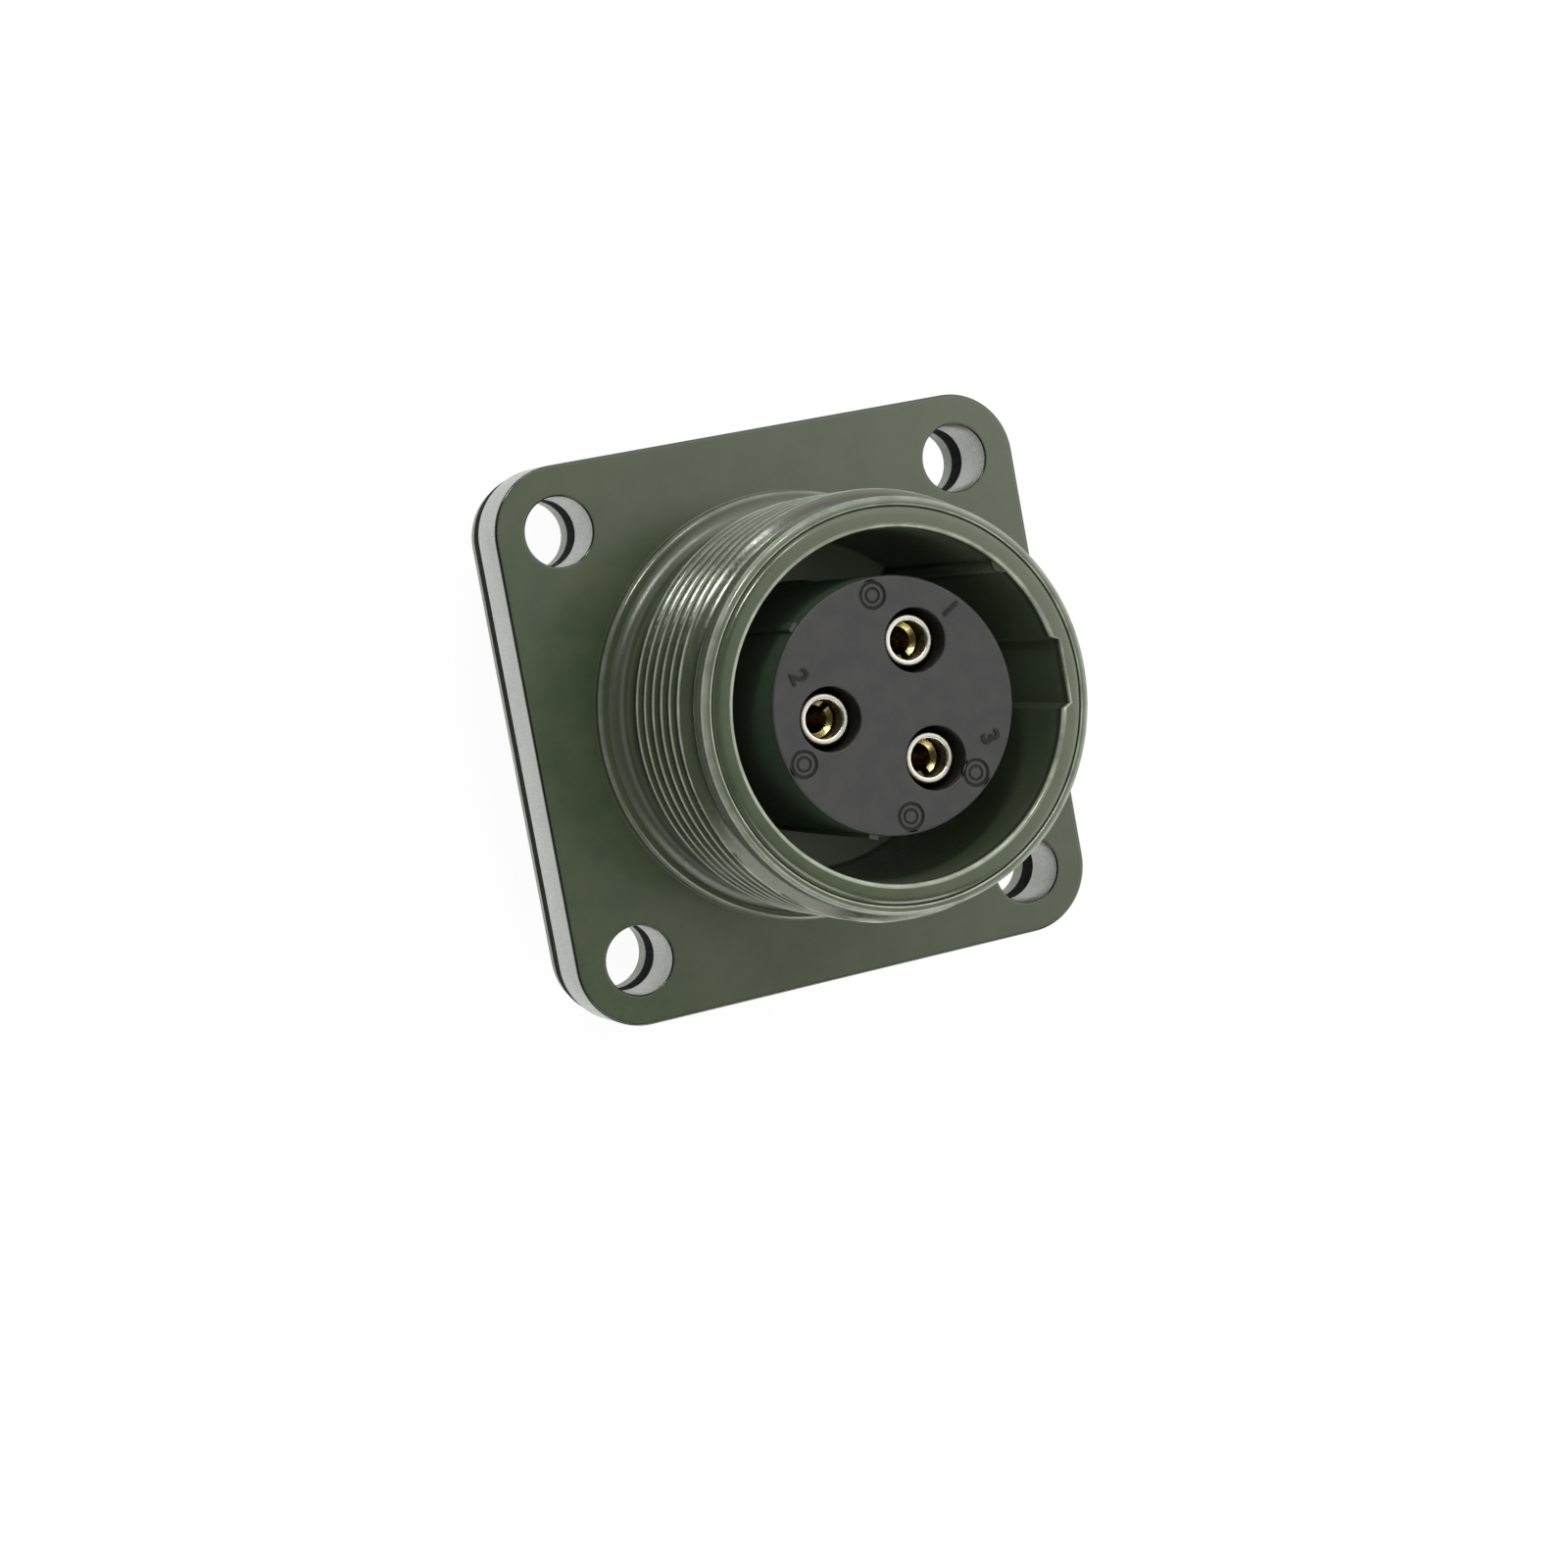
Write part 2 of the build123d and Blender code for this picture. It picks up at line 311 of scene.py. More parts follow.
def turn(bm, path, angles, centre=(0.0, 0.0)):
    """Turns a path of (radius, level) pairs about an axis along Z."""
    return skin(bm, [ring(radius, level, angles, centre) for radius, level in path])


def fill(bm, *loops):
    """Fills the flat area between closed loops of vertices."""
    edges = []
    for loop in loops:
        for a, b in zip(loop, loop[1:] + loop[:1]):
            edges.append(bm.edges.get((a, b)) or bm.edges.new((a, b)))
    bmesh.ops.triangle_fill(bm, use_beauty=True, use_dissolve=False, edges=edges)


def arc(start, end, corner, steps=ARC_STEPS):
    """Points of a quarter ellipse from start to end, rounding the corner between them."""
    (r0, z0), (r1, z1), (rc, zc) = start, end, corner
    points = []
    for k in range(steps + 1):
        angle = math.pi / 2 * k / steps
        leaving, arriving = math.sin(angle), 1 - math.cos(angle)
        r = r0 + (rc - r0) * leaving + (r1 - rc) * arriving
        z = z0 + (zc - z0) * leaving + (z1 - zc) * arriving
        points.append((r, z))
    return points


def finish_piece(bm, name, stands_for, smooth_deg=SMOOTH_DEG, weld=WELD):
    """Welds a bmesh, scales it to metres and makes it a piece that stands for CAD nodes."""
    bmesh.ops.remove_doubles(bm, verts=bm.verts, dist=weld)
    loose = [v for v in bm.verts if not v.link_faces]
    bmesh.ops.delete(bm, geom=loose, context="VERTS")
    bmesh.ops.recalc_face_normals(bm, faces=bm.faces)
    bmesh.ops.scale(bm, vec=(MM, MM, MM), verts=bm.verts)
    mesh = bpy.data.meshes.new(name)
    bm.to_mesh(mesh)
    bm.free()
    mesh.polygons.foreach_set("use_smooth", np.ones(len(mesh.polygons), bool))
    mesh.set_sharp_from_angle(angle=math.radians(smooth_deg))
    mark_edges(mesh)
    piece = bpy.data.objects.new(name, mesh)
    bpy.context.scene.collection.objects.link(piece)
    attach(piece, "root")
    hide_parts(*stands_for)
    return piece


def vertex_values(mesh, name):
    """A vector of each vertex, such as its place or its normal, as rows."""
    values = np.empty(len(mesh.vertices) * 3)
    mesh.vertices.foreach_get(name, values)
    return values.reshape(-1, 3)


def mark_edges(mesh):
    """Stores how convex each vertex is: 1 on a sharp edge, 0 on a flat, -1 in a sharp hollow."""
    places, normals = vertex_values(mesh, "co") / MM, vertex_values(mesh, "normal")
    ends = np.empty(len(mesh.edges) * 2, int)
    mesh.edges.foreach_get("vertices", ends)
    first, second = ends.reshape(-1, 2).T
    along = places[second] - places[first]
    length = np.maximum((along * along).sum(axis=1), 1e-6)
    bend = ((normals[second] - normals[first]) * along).sum(axis=1) / length

    # The second strongest bend at each vertex, so that a flat's last vertex counts as flat
    owner, bend = np.append(first, second), np.append(bend, bend)
    order = np.lexsort((bend, owner))
    owner, bend = owner[order], bend[order]
    indices = np.arange(len(places))
    hollow = np.minimum(bend[np.searchsorted(owner, indices) + 1], 0)
    convex = np.maximum(bend[np.searchsorted(owner, indices, side="right") - 2], 0)
    bend = np.where(convex > -hollow, convex, hollow)
    layer = mesh.attributes.new("edge", "FLOAT", "POINT")
    layer.data.foreach_set("value", np.clip(bend / FULL_EDGE, -1, 1))


def mark_shell(mesh):
    """Counts thread grooves and flange edges as hollows, which get painted shade, and evens out the boss,
    rim and keyway.
    """
    places = vertex_values(mesh, "co") / MM
    radius, level = np.hypot(places[:, 0], places[:, 1]), places[:, 2]
    height = (radius - THREAD_R + THREAD_DEPTH) / THREAD_DEPTH
    in_thread = (level > THREAD_START) & (level < THREAD_END - RUN_OUT) & (radius > CROWN_R)
    values = np.empty(len(places))
    layer = mesh.attributes["edge"]
    layer.data.foreach_get("value", values)
    # Painted shade: the thread's grooves are darkened towards their roots.
    values = np.where(in_thread & (height < GROOVE_TOP), np.clip(height / GROOVE_TOP, 0, 1) - 1, values)
    # The boss's edge and the rim's crown keep less of their pale wear and painted highlight.
    on_boss = (level > FLANGE_FRONT + BAND) & (level < BOSS_TOP + NEAR) & (values > 0)
    values = np.where(on_boss, BOSS_WEAR_AND_HIGHLIGHT * values, values)
    on_crown = (level > VALLEY - NEAR) & (radius > CROWN_R - NEAR) & (radius < BEAD_FOOT_R)
    values = np.where(on_crown & (values > 0), CROWN_WEAR_AND_HIGHLIGHT * values, values)
    in_valley = (radius > CROWN_R) & (level > VALLEY - NEAR)
    at_foot = (radius > CROWN_R) & (level < FLANGE_FRONT + BAND) & (level > FLANGE_BACK + BAND)
    in_cavity = (radius < CROWN_R) & (level > CAVITY_FLOOR + FLOOR_FILLET + NEAR)
    faint = (in_valley | at_foot | in_cavity) & (values < 0)
    values = np.where(faint, FAINT_HOLLOW * values, values)
    # Painted shade: the flange's own edges become hollows, so they are drawn as dark lines.
    on_flange = (level > FLANGE_BACK - NEAR) & (level < FLANGE_FRONT + NEAR) & (values > 0)
    layer.data.foreach_set("value", np.where(on_flange, FLANGE_EDGE * values, values))


def with_steps(angles, steps_deg, ramp_deg=RAMP_DEG):
    """Columns of angles, with a close pair of them at each step, in order."""
    half = math.radians(ramp_deg)
    kept = [a for a in angles if all(turned(a, math.radians(s)) > 2 * half for s in steps_deg)]
    for step in steps_deg:
        at = math.radians(step)
        kept += [(at - half / 2) % (2 * math.pi), (at + half / 2) % (2 * math.pi)]
    return np.array(sorted(kept))


def turned(a, b):
    """The smaller angle between two directions."""
    return abs((a - b + math.pi) % (2 * math.pi) - math.pi)


def half_angle(width, radius):
    """Half the angle in degrees that a width takes at a radius."""
    return math.degrees(math.asin(width / 2 / radius))


def inside(angles, centre_deg, half_deg):
    """Which columns lie inside a feature."""
    return np.array([turned(a, math.radians(centre_deg)) < math.radians(half_deg) for a in angles])


def from_middle(angles, centre_deg):
    """Cosine of the angle from a flat floor's middle, by which its distance is divided. At least a half."""
    return np.maximum(np.cos(angles - math.radians(centre_deg)), 0.5)


# Shell

def soft_clamp(value, low, high, round_off):
    """Clamps a value, with rounded corners."""
    def soft_min(a, b):
        gap = np.maximum(round_off - np.abs(a - b), 0.0)
        return np.minimum(a, b) - gap * gap / (4 * round_off)
    return -soft_min(-soft_min(value, high), -low)


def thread_height(phase):
    """Height of the thread above its root, for a phase of 0 at the crest and 0.5 at the root."""
    flank = THREAD_DEPTH * math.tan(math.radians(30))
    away = np.abs((phase + 0.5) % 1.0 - 0.5) * PITCH - CREST_FLAT / 2
    return THREAD_DEPTH * soft_clamp(1 - away / flank, 0.0, 1.0, CREST_ROUND)


def add_thread(bm, angles):
    """The helical surface between the neck and the relief groove, as a grid along the helix."""
    step = PITCH / ROWS_PER_PITCH
    rows = int(math.ceil((THREAD_END - THREAD_START) / step)) + 2 * ROWS_PER_PITCH
    root_r = THREAD_R - THREAD_DEPTH
    columns = []
    for angle in np.append(angles, angles[0] + 2 * math.pi):
        lead = PITCH * angle / (2 * math.pi)
        levels = THREAD_START - PITCH + step * np.arange(rows + 1) + lead - PITCH * angles[0] / (2 * math.pi)
        levels = np.clip(levels, THREAD_START, THREAD_END)
        start = np.clip((levels - THREAD_START) / RUN_IN, 0, 1)
        end = np.clip((THREAD_END - levels) / RUN_OUT, 0, 1)
        base = NECK_R + (root_r - NECK_R) * start
        base = RELIEF_R + (base - RELIEF_R) * end
        radius = base + thread_height((levels - CREST_AT - lead) / PITCH) * start * end
        columns.append([
            bm.verts.new((r * math.cos(angle), r * math.sin(angle), z)) for r, z in zip(radius, levels)
        ])
    for left, right in zip(columns, columns[1:]):
        for k in range(rows):
            bm.faces.new((left[k], right[k], right[k + 1], left[k + 1]))


def square_loop(half, corner, level):
    """A square with rounded corners, as a closed ring of points."""
    points = []
    for quarter in range(4):
        cx = (half - corner) * (1 if quarter in (0, 3) else -1)
        cy = (half - corner) * (1 if quarter in (0, 1) else -1)
        for k in range(CORNER_STEPS + 1):
            angle = math.pi / 2 * (quarter + k / CORNER_STEPS)
            points.append((cx + corner * math.cos(angle), cy + corner * math.sin(angle), level))
    return np.array(points)


def add_flange(bm, foot, skirt):
    """Flange plate round the boss's foot loop and the skirt's loop, with its four holes."""
    inset = EDGE_R + BAND
    outline = [square_loop(FLANGE_HALF - inset, CORNER_R - inset, FLANGE_FRONT)]
    for drop in np.linspace(0, math.pi / 2, ARC_STEPS + 1):
        out = EDGE_R * (1 - math.sin(drop))
        down = EDGE_R * (1 - math.cos(drop))
        outline.append(square_loop(FLANGE_HALF - out, CORNER_R - out, FLANGE_FRONT - down))
    for rise in np.linspace(math.pi / 2, 0, ARC_STEPS + 1):
        out = EDGE_R * (1 - math.sin(rise))
        up = EDGE_R * (1 - math.cos(rise))
        outline.append(square_loop(FLANGE_HALF - out, CORNER_R - out, FLANGE_BACK + up))
    outline.append(square_loop(FLANGE_HALF - inset, CORNER_R - inset, FLANGE_BACK))
    sides = skin(bm, outline)
    front_loops, back_loops = [foot, sides[0]], [skirt, sides[-1]]
    edge_r = HOLE_R + HOLE_EDGE
    path = [(edge_r + BAND, FLANGE_FRONT)]
    path += arc((edge_r, FLANGE_FRONT), (HOLE_R, FLANGE_FRONT - HOLE_EDGE), (HOLE_R, FLANGE_FRONT))
    path += arc((HOLE_R, FLANGE_BACK + HOLE_EDGE), (edge_r, FLANGE_BACK), (HOLE_R, FLANGE_BACK))
    path += [(edge_r + BAND, FLANGE_BACK)]
    for x in (-HOLE_SPACING / 2, HOLE_SPACING / 2):
        for y in (-HOLE_SPACING / 2, HOLE_SPACING / 2):
            loops = turn(bm, path, full_turn(HOLE_COLUMNS), (x, y))
            front_loops.append(loops[0])
            back_loops.append(loops[-1])
    fill(bm, *front_loops)
    fill(bm, *back_loops)


def shell_columns(key_half, slot_half):
    """The shell's columns: even ones, pairs at each keyway's walls, and close ones on the rib."""
    angles = with_steps(full_turn(SHELL_COLUMNS), [-key_half, key_half], KEYWAY_RAMP_DEG)
    angles = with_steps(angles, [INSERT_KEY_ANGLE - slot_half, INSERT_KEY_ANGLE + slot_half])
    rib_half = half_angle(RIB_W, CAVITY_R)
    off_rib = angles[~inside(angles, RIB_ANGLE, rib_half + RAMP_DEG)]
    on_rib = np.radians(RIB_ANGLE + np.linspace(-rib_half, rib_half, RIB_COLUMNS))
    return np.sort(np.append(off_rib, on_rib))


def rib_wall(angles):
    """Radius of the cavity's wall with its half-round rib."""
    away = angles - math.radians(RIB_ANGLE)
    across = CAVITY_R * np.sin(away)
    round_r = (RIB_H**2 + (RIB_W / 2) ** 2) / (2 * RIB_H)
    crown = CAVITY_R - RIB_H + round_r - np.sqrt(np.maximum(round_r**2 - across**2, 0))
    on_rib = (np.cos(away) > 0) & (np.abs(across) < RIB_W / 2)
    return np.where(on_rib, np.minimum(crown, CAVITY_R), CAVITY_R)


def make_shell():
    """One closed mesh: flange, boss, neck, helical thread, lip, cavity, web and rear skirt."""
    key_half = half_angle(KEYWAY_W, CAVITY_R)
    slot_half = half_angle(INSERT_KEYWAY_W, REAR_BORE_R)
    angles = shell_columns(key_half, slot_half)
    in_key = inside(angles, 0.0, key_half)
    in_slot = inside(angles, INSERT_KEY_ANGLE, slot_half)
    slot_floor = (REAR_BORE_R + INSERT_KEYWAY_DEPTH) / from_middle(angles, INSERT_KEY_ANGLE)
    rear = np.where(in_slot, slot_floor, REAR_BORE_R)

    def wall_at(level, plain):
        """Radius at a level: the keyway with its sloped lead-in and rounded edge, or a plain one."""
        lead = KEYWAY_LEAD_STEP * max(1 - (MOUTH - level) / KEYWAY_LEAD_LENGTH, 0)
        up = max(1 - (MOUTH - level) / MOUTH_EDGE, 0)
        rounding = KEYWAY_EDGE * (1 - math.sqrt(1 - up * up))
        key_floor = (CAVITY_R + KEYWAY_DEPTH + lead + rounding) / from_middle(angles, 0.0)
        return np.where(in_key, key_floor, plain)

    ribbed = rib_wall(angles)
    cavity = wall_at(CAVITY_FLOOR, ribbed)
    bm = bmesh.new()

    # Outside, from the flange to the neck
    outside = [(BOSS_R + WIDE_BAND, FLANGE_FRONT), (BOSS_R + BOSS_FOOT, FLANGE_FRONT)]
    outside += [(BOSS_R, FLANGE_FRONT + BOSS_FOOT)]
    outside += arc((BOSS_R, BOSS_TOP - BOSS_EDGE), (BOSS_R - BOSS_EDGE, BOSS_TOP), (BOSS_R, BOSS_TOP))
    fillet_from, fillet_to = (NECK_R + NECK_FILLET, BOSS_TOP), (NECK_R, BOSS_TOP + NECK_FILLET)
    outside += arc(fillet_from, fillet_to, (NECK_R, BOSS_TOP), MANY_STEPS)
    outside += [(NECK_R, THREAD_START)]
    foot = turn(bm, outside, angles)[0]
    add_thread(bm, angles)

    # Relief groove, lip with its waist, and the bead and valley round the crowned rim
    lip = [(RELIEF_R, THREAD_END), (RELIEF_R, LIP_START - RELIEF_FOOT_H)]
    lip += [(RELIEF_R + RELIEF_FOOT_W, LIP_START), (LIP_R - LIP_EDGE - HAIR, LIP_START)]
    edge_end, bead_start = LIP_START + LIP_EDGE, BEAD_TOP - BEAD_EDGE
    lip += arc((LIP_R - LIP_EDGE, LIP_START), (LIP_R, edge_end), (LIP_R, LIP_START), FEW_STEPS)
    lip += [(LIP_R, edge_end + THIN_BAND), (LIP_R - LIP_WAIST, edge_end + THIN_BAND + BAND)]
    lip += [(LIP_R - LIP_WAIST / 4, bead_start - 3 * THIN_BAND)]
    lip += [(LIP_R - LIP_WAIST / 10, bead_start - THIN_BAND)]
    lip += arc((LIP_R, bead_start), (LIP_R - BEAD_EDGE, BEAD_TOP), (LIP_R, BEAD_TOP))
    inner_r = BEAD_FOOT_R + BEAD_SLOPE
    inner_top, foot_top = (inner_r + BEAD_INNER_W, BEAD_TOP), (inner_r, BEAD_TOP - BEAD_INNER_H)
    lip += arc(inner_top, foot_top, (inner_r, BEAD_TOP), FEW_STEPS)
    lip += [(BEAD_FOOT_R, VALLEY)]
    crown_foot, crown_top = BEAD_FOOT_R - HAIR, MOUTH - CROWN_DROP
    lip += arc((crown_foot, VALLEY + HAIR / 2), (CROWN_R, crown_top), (crown_foot, crown_top), MANY_STEPS)
    edge = CAVITY_R + MOUTH_EDGE
    lip += [(wall_at(MOUTH, edge) + THIN_BAND, MOUTH), (wall_at(MOUTH, edge) + HAIR, MOUTH)]

    # Rounded mouth edge, which the keyway interrupts, and the cavity's wall
    for r, z in arc((edge, MOUTH), (CAVITY_R, MOUTH - MOUTH_EDGE), (CAVITY_R, MOUTH)):
        lip.append((wall_at(z, r), z))
    lip += [(wall_at(RIB_TOP, CAVITY_R), RIB_TOP), (wall_at(RIB_TOP, ribbed), RIB_TOP - 2 * HAIR)]
    lip += [(cavity, MOUTH - KEYWAY_LEAD_LENGTH), (cavity, CAVITY_FLOOR + FLOOR_FILLET)]
    lip += [(cavity - FLOOR_FILLET, CAVITY_FLOOR)]
    turn(bm, lip, angles)

    # Cavity floor, web, rear bore with its keyway and ring groove, skirt
    groove_front, groove_back = RING_FRONT + RING_GAP, RING_BACK - RING_GAP
    groove = np.maximum(rear, RING_GROOVE_R)
    inner = [(cavity - FLOOR_FILLET, CAVITY_FLOOR), (WEB_HOLE_R + WEB_EDGE, CAVITY_FLOOR)]
    inner += [(WEB_HOLE_R, CAVITY_FLOOR - WEB_EDGE), (WEB_HOLE_R, WEB_BACK), (rear, WEB_BACK)]
    inner += [(rear, groove_front), (groove, groove_front), (groove, groove_back), (rear, groove_back)]
    inner += [(rear, SKIRT_END + REAR_CHAMFER), (rear + REAR_CHAMFER, SKIRT_END)]
    inner += [(SKIRT_R - SKIRT_CHAMFER, SKIRT_END), (SKIRT_R, SKIRT_END + SKIRT_CHAMFER)]
    inner += [(SKIRT_R, FLANGE_BACK - WIDE_BAND), (SKIRT_R, FLANGE_BACK)]
    skirt = turn(bm, inner, angles)[-1]
    add_flange(bm, foot, skirt)
    piece = finish_piece(bm, "shell_casting", ["shell"])
    mark_shell(piece.data)
    return piece


# Inserts

def contact_centres():
    """The contacts' axes, in millimetres."""
    return [
        (CONTACT_CIRCLE_R * math.cos(math.radians(a)), CONTACT_CIRCLE_R * math.sin(math.radians(a)))
        for a in CONTACT_ANGLES
    ]


def mark_path():
    """The section of a round mark: a groove, a flat disc with a turned ring in it, and its middle."""
    outer_r, inner_r = MARK_R, MARK_R - MARK_GROOVE_W
    ring_r, ring_inner_r = MARK_INNER_R, MARK_INNER_R - MARK_RING_W
    groove, disc = INSERT_FACE - MARK_DEPTH, INSERT_FACE - MARK_DEPTH / 2
    path = [(outer_r + 4 * HAIR, INSERT_FACE), (outer_r + HAIR, INSERT_FACE), (outer_r, INSERT_FACE - HAIR)]
    path += [(outer_r - HAIR, groove), (outer_r - 2.5 * HAIR, groove)]
    path += [(inner_r + 2.5 * HAIR, groove), (inner_r + HAIR, groove)]
    path += [(inner_r, disc - HAIR / 2), (inner_r - HAIR, disc), (ring_r + 4 * HAIR, disc)]
    path += [(ring_r + HAIR, disc), (ring_r, groove), (ring_r - 0.3 * MARK_RING_W, groove)]
    path += [(ring_r - 0.7 * MARK_RING_W, groove), (ring_inner_r, groove)]
    path += [(ring_inner_r - HAIR, disc), (ring_inner_r - 4 * HAIR, disc)]
    return path


def make_front_insert():
    """Moulded insulator with three wells, round pin marks and its keyed shoulder."""
    nub_half = half_angle(NUB_W, INSERT_R)
    key_half = half_angle(INSERT_KEYWAY_W - KEY_GAP, SHOULDER_R)
    steps = [a + s * nub_half for a in NUB_ANGLES for s in (-1, 1)]
    steps += [INSERT_KEY_ANGLE - key_half, INSERT_KEY_ANGLE + key_half]
    angles = with_steps(full_turn(INSERT_COLUMNS), steps)
    nose = np.full(angles.shape, INSERT_R)
    for at in NUB_ANGLES:
        nose = np.where(inside(angles, at, nub_half), INSERT_R + NUB_H, nose)
    key = inside(angles, INSERT_KEY_ANGLE, key_half)
    shoulder = np.where(key, INSERT_KEY_REACH / from_middle(angles, INSERT_KEY_ANGLE), SHOULDER_R)
    bm = bmesh.new()
    edge_r, edge_end = INSERT_R - INSERT_EDGE, INSERT_FACE - INSERT_EDGE
    side = [(edge_r - THIN_BAND, INSERT_FACE)]
    side += arc((edge_r, INSERT_FACE), (INSERT_R, edge_end), (INSERT_R, INSERT_FACE))
    side += [(nose, edge_end), (nose, CAVITY_FLOOR + NUB_W), (INSERT_R, CAVITY_FLOOR + NUB_W)]
    side += [(INSERT_R, WEB_BACK), (shoulder, WEB_BACK), (shoulder, INSERT_BACK)]
    loops = turn(bm, side, angles)
    face, back = [loops[0]], [loops[-1]]
    well_floor = HOOD_BACK - WELL_FLOOR_GAP
    hole_r, seat_r = BARREL_R + CONTACT_GAP, COLLAR_R + CONTACT_GAP
    seat_top = INSERT_BACK + COLLAR_T + CONTACT_GAP
    edge_r, edge_end = WELL_R + WELL_EDGE, INSERT_FACE - WELL_EDGE
    well = [(edge_r + 2 * HAIR, INSERT_FACE)]
    well += arc((edge_r, INSERT_FACE), (WELL_R, edge_end), (WELL_R, INSERT_FACE))
    well += [(WELL_R, well_floor), (hole_r, well_floor), (hole_r, seat_top)]
    well += [(seat_r, seat_top), (seat_r, INSERT_BACK)]
    for centre in contact_centres():
        loops = turn(bm, well, full_turn(CONTACT_COLUMNS), centre)
        face.append(loops[0])
        back.append(loops[-1])
    for at in MARK_ANGLES:
        centre = (MARK_CIRCLE_R * math.cos(math.radians(at)), MARK_CIRCLE_R * math.sin(math.radians(at)))
        loops = turn(bm, mark_path(), full_turn(HOLE_COLUMNS // 2), centre)
        face.append(loops[0])
        fill(bm, loops[-1])
    fill(bm, *face)
    fill(bm, *back)
    return finish_piece(bm, "front_insert_moulding", ["front_insert"])


def make_numerals():
    """Plain raised contact numbers on the insert's face."""
    made = []
    for text, at, radius, turned_deg in NUMERALS:
        curve = bpy.data.curves.new("numeral_curve", "FONT")
        curve.body = text
        curve.size = NUMERAL_SIZE * MM
        curve.extrude = NUMERAL_RISE * MM / 2
        curve.offset = NUMERAL_STROKE * MM
        curve.align_x = "CENTER"
        curve.align_y = "CENTER"
        holder = bpy.data.objects.new("numeral_holder", curve)
        bpy.context.scene.collection.objects.link(holder)
        mesh = bpy.data.meshes.new_from_object(holder)
        bpy.data.objects.remove(holder)
        place = Matrix.Translation((
            radius * MM * math.cos(math.radians(at)),
            radius * MM * math.sin(math.radians(at)),
            (INSERT_FACE + NUMERAL_RISE / 2 - NUMERAL_SINK) * MM,
        ))
        mesh.transform(place @ Matrix.Rotation(math.radians(turned_deg), 4, "Z"))
        bm = bmesh.new()
        bm.from_mesh(mesh)
        bmesh.ops.remove_doubles(bm, verts=bm.verts, dist=COARSE_WELD * MM)
        bmesh.ops.recalc_face_normals(bm, faces=bm.faces)
        bm.to_mesh(mesh)
        bm.free()
        piece = bpy.data.objects.new(f"contact_number_{text}", mesh)
        bpy.context.scene.collection.objects.link(piece)
        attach(piece, "root")
        made.append(piece)
    return made


# Contacts

def make_hood(number, centre):
    """Bright sleeve with a rolled lip over the socket's tines."""
    bm = bmesh.new()
    top = HOOD_FRONT
    path = [(HOOD_BORE_R, HOOD_BACK), (HOOD_R - HOOD_BACK_EDGE, HOOD_BACK)]
    path += [(HOOD_R, HOOD_BACK + HOOD_BACK_EDGE)]
    path += arc((HOOD_R, top - HOOD_EDGE), (HOOD_R - HOOD_EDGE, top), (HOOD_R, top), LIP_STEPS)
    path += arc((HOOD_LIP_R + HOOD_EDGE, top), (HOOD_LIP_R, top - HOOD_EDGE), (HOOD_LIP_R, top), LIP_STEPS)
    path += [(HOOD_LIP_R, top - HOOD_LIP_T), (HOOD_BORE_R, top - HOOD_LIP_T - HOOD_LIP_SLOPE)]
    path += [(HOOD_BORE_R, HOOD_BACK)]
    turn(bm, path, full_turn(CONTACT_COLUMNS), centre)
    stands_for = [f"contact_hood_{number}"]
    return finish_piece(bm, f"hood_sleeve_{number}", stands_for, HOOD_SMOOTH_DEG)


def cut_box(piece, centre, size, low, high, turned_deg=0.0):
    """Cuts a box out of a piece, from one level to another, turned about its own upright axis."""
    bm = bmesh.new()
    place = Matrix.Translation((*centre, 0)) @ Matrix.Rotation(math.radians(turned_deg), 4, "Z")
    for x in (-size[0] / 2, size[0] / 2):
        for y in (-size[1] / 2, size[1] / 2):
            for z in (low, high):
                bm.verts.new(place @ Vector((x, y, z)) * MM)
    bmesh.ops.convex_hull(bm, input=bm.verts)
    mesh = bpy.data.meshes.new("cutter")
    bm.to_mesh(mesh)
    bm.free()
    cutter = bpy.data.objects.new("cutter", mesh)
    bpy.context.scene.collection.objects.link(cutter)
    cut = piece.modifiers.new("cut", "BOOLEAN")
    cut.object = cutter
    cut.solver = "EXACT"
    bpy.context.view_layer.update()
    result = bpy.data.meshes.new_from_object(piece.evaluated_get(bpy.context.evaluated_depsgraph_get()))
    piece.modifiers.clear()
    piece.data = result
    bpy.data.objects.remove(cutter)


